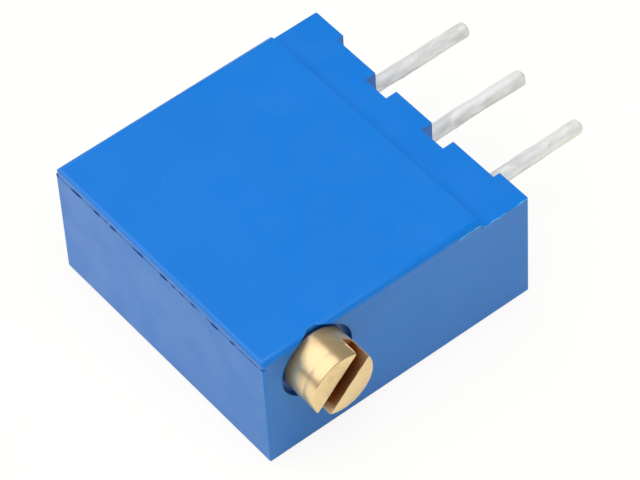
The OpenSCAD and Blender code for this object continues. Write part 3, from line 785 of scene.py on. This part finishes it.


# Flash, and the painted shadow beads of the seam: path in mm, then the bead's values
flashLines = {
    "seamFlashBack": {
        "path": ((-4.6, -4.755, 4.12), (4.6, -4.755, 4.12)),
        "Radius": 0.026, "Least": 0.12, "Cover": 0.30, "Scale": 2600.0,
        "Wander": (0.0, 0.02, 0.04), "Wander Scale": 1900.0, "Seed": 2.0},
    "seamFlashLeft": {
        "path": ((-4.742, -4.5, 4.12), (-4.742, 2.95, 4.12)),
        "Radius": 0.026, "Least": 0.12, "Cover": 0.3, "Scale": 1900.0,
        "Wander": (0.02, 0.0, 0.03), "Wander Scale": 1400.0, "Seed": 5.0},
    "edgeFlashRight": {
        "path": ((4.742, 3.70, 4.11), (4.742, 4.72, 4.115)),
        "Radius": 0.02, "Least": 0.4, "Cover": 0.6, "Scale": 2600.0,
        "Wander": (0.01, 0.0, 0.10), "Wander Scale": 2200.0, "Seed": 4.0},
    "edgeFlashPeaks": {
        "path": ((4.742, 2.20, 4.25), (4.738, 2.62, 4.26), (4.732, 2.92, 4.28), (4.735, 3.08, 4.16),
                 (4.745, 3.22, 4.07), (4.742, 3.45, 4.14), (4.745, 3.75, 4.10)),
        "Radius": 0.024, "Least": 0.5, "Cover": 0.6, "Scale": 3000.0,
        "Wander": (0.01, 0.03, 0.10), "Wander Scale": 2600.0, "Seed": 9.0},
    "stepFlash": {
        "path": ((-4.4, 3.02, 4.13), (4.6, 3.02, 4.13)),
        "Radius": 0.03, "Least": 0.05, "Cover": 0.16, "Scale": 1500.0,
        "Wander": (0.0, 0.03, 0.0), "Wander Scale": 900.0, "Seed": 11.0},
}
# Painted shadow along the cover's joint: dark navy beads
seamShadowLines = {
    "seamShadowBack": {
        "path": ((-4.72, -4.757, 4.112), (4.70, -4.757, 4.112)),
        "Radius": 0.036, "Least": 0.36, "Cover": 0.55, "Scale": 1700.0,
        "Wander": (0.0, 0.0, 0.07), "Wander Scale": 2600.0, "Seed": 3.0},
    "seamShadowLeft": {
        "path": ((-4.740, -4.6, 4.112), (-4.740, 2.95, 4.112)),
        "Radius": 0.026, "Least": 0.4, "Cover": 0.6, "Scale": 1200.0,
        "Wander": (0.0, 0.0, 0.04), "Wander Scale": 1500.0, "Seed": 7.0},
}
for lines, material in ((flashLines, flashBlue), (seamShadowLines, seamShadowNavy)):
    for name, spec in lines.items():
        addBead(name, spec["path"], spec, "body", "blue_moulding", material)
print("flash made:", len(flashLines), "and seam lines:", len(seamShadowLines))

# Burrs left by the slotting saw: x, then places along the slot and beside its middle, in mm
burrLook = {
    "Least": 0.2, "Cover": 0.6, "Scale": 5000.0,
    "Wander": (0.01, 0.05, 0.05), "Wander Scale": 5000.0,
}
slotBurrs = {
    "burrExitUpper": {
        "path": ((5.88, 1.01, 0.3), (5.6, 1.02, 0.3), (5.24, 1.02, 0.3)), "Radius": 0.020, "Seed": 2.0},
    "burrFaceUpper": {
        "path": ((5.885, 1.0, 0.3), (5.885, 0.72, 0.305)), "Radius": 0.018, "Seed": 6.0},
    "burrExitLower": {
        "path": ((5.88, 1.01, -0.3), (5.5, 1.02, -0.3)), "Radius": 0.022, "Seed": 4.0},
    "burrFaceLower": {
        "path": ((5.885, 1.0, -0.3), (5.885, 0.2, -0.305), (5.885, -0.9, -0.3)),
        "Radius": 0.013, "Seed": 5.0},
    "burrFaceEnd": {
        "path": ((5.885, -0.55, 0.3), (5.885, -1.0, 0.3)), "Radius": 0.018, "Seed": 8.0},
}
slotWay = math.radians(screwHead["slotTurn"])
for name, spec in slotBurrs.items():
    path = [(x, screwAxis["y"] + along * math.cos(slotWay) - beside * math.sin(slotWay),
             screwAxis["z"] + along * math.sin(slotWay) + beside * math.cos(slotWay))
            for x, along, beside in spec["path"]]
    addBead(name, path, dict(burrLook, **spec), "screw", "screw_brass", finishes["screw_brass"])
print("burrs made:", len(slotBurrs))


# Floor: it shows nearly white to the camera and keeps a faint shadow; in reflections it carries a painted
# pool of light, whiter towards the left front and dimmer to the right
floorLook = {
    "reach": 1500.0,    # mm
    "below": 0.01,    # mm under the part
    "colour": (0.88, 0.86, 0.71),
    "roughness": 0.9,
    "white": 1.03,
    "whiteShare": 0.84,
    "glossLeft": 0.92,
    "glossRight": 0.33,
    "leftWay": (-0.63, -0.77, 0.0),
    "leftFrom": 0.0,    # mm along leftWay
    "leftTo": 9.0,
}


def mixShaders(tree, share, first, second):
    return addNode(tree, "ShaderNodeMixShader", {0: share, 1: first, 2: second}).outputs[0]


def addFloor(spec):
    shape = bmesh.new()
    bmesh.ops.create_grid(shape, x_segments=1, y_segments=1, size=spec["reach"] * mm)
    bmesh.ops.translate(shape, verts=shape.verts, vec=(0.0, 0.0, -spec["below"] * mm))
    floor = meshFromBmesh("paleFloor", shape)
    material, tree, shader = newMaterial("paleFloor", Base_Color=spec["colour"],
                                         Roughness=spec["roughness"], Specular_IOR_Level=0.0)
    plain = tree.nodes["Principled BSDF"].outputs[0]
    glow = {"Color": (1, 1, 1, 1), "Strength": spec["white"]}
    white = addNode(tree, "ShaderNodeEmission", glow).outputs[0]
    ray = addNode(tree, "ShaderNodeLightPath").outputs
    gloss = number(tree, "ADD", ray["Is Glossy Ray"], ray["Is Transmission Ray"], clamp=True)
    # Painted light pool: reflections of the floor whiter towards the left front, dimmer to the right
    leftward = vector(tree, "DOT_PRODUCT", objectPlace(tree), spec["leftWay"])
    paintedLightPool = ramp(tree, leftward, spec["leftFrom"] * mm, spec["leftTo"] * mm,
                spec["glossRight"], spec["glossLeft"])
    share = number(tree, "ADD", number(tree, "MULTIPLY", ray["Is Camera Ray"], spec["whiteShare"]),
                   number(tree, "MULTIPLY", gloss, paintedLightPool), clamp=True)
    pale = mixShaders(tree, share, plain, white)
    # Clear from below, so that the underside can be looked at
    below = addNode(tree, "ShaderNodeNewGeometry").outputs["Backfacing"]
    fromBelow = number(tree, "MULTIPLY", below, ray["Is Camera Ray"])
    clear = addNode(tree, "ShaderNodeBsdfTransparent").outputs[0]
    seen = mixShaders(tree, fromBelow, pale, clear)
    link(tree, seen, tree.nodes["Material Output"].inputs["Surface"])
    floor.data.materials.append(material)


# Sky: bright overhead and to the left of the screw, dim behind the pins
skyLook = {
    "brightFrom": (-0.36, -0.42, 0.83),
    "dim": 0.12,
    "bright": 1.38,
    "innerAngle": 38.5,    # degrees
    "outerAngle": 45.0,    # degrees
    "horizon": 0.45,
    "horizonTo": 0.35,    # height at which its light ends
}


def addWorld(spec):
    world = bpy.data.worlds.new("studio")
    scene.world = world
    world.use_nodes = True
    tree = world.node_tree
    back = tree.nodes["Background"].inputs
    ray = addNode(tree, "ShaderNodeLightPath").outputs
    way = addNode(tree, "ShaderNodeTexCoord").outputs["Generated"]
    facing = vector(tree, "DOT_PRODUCT", way, Vector(spec["brightFrom"]).normalized())
    outer, inner = (math.cos(math.radians(spec[key])) for key in ("outerAngle", "innerAngle"))
    sky = ramp(tree, facing, outer, inner, spec["dim"], spec["bright"])
    height = addNode(tree, "ShaderNodeSeparateXYZ", {0: way}).outputs[2]
    low = ramp(tree, height, 0.0, spec["horizonTo"], spec["horizon"], 0.0)
    sky = number(tree, "MAXIMUM", sky, low)
    back["Color"].default_value = (1, 1, 1, 1)
    link(tree, ramp(tree, ray["Is Camera Ray"], 0.0, 1.0, sky, 1.0, smooth=False), back["Strength"])


# A round softbox, aimed at the part
softbox = {
    "place": (145, 20, 390),    # mm
    "size": 520,    # mm
    "power": 1.25,    # watts
}


def addSoftbox(spec):
    data = bpy.data.lights.new("overheadSoftbox", "AREA")
    data.shape = "DISK"
    data.size = spec["size"] * mm
    data.energy = spec["power"]
    lamp = bpy.data.objects.new("overheadSoftbox", data)
    scene.collection.objects.link(lamp)
    lamp.location = Vector(spec["place"]) * mm
    lamp.rotation_euler = (-lamp.location).to_track_quat("-Z", "Y").to_euler()
    lamp.visible_glossy = False
    lamp.visible_camera = False


addFloor(floorLook)
addWorld(skyLook)
addSoftbox(softbox)
print("floor and lights set")
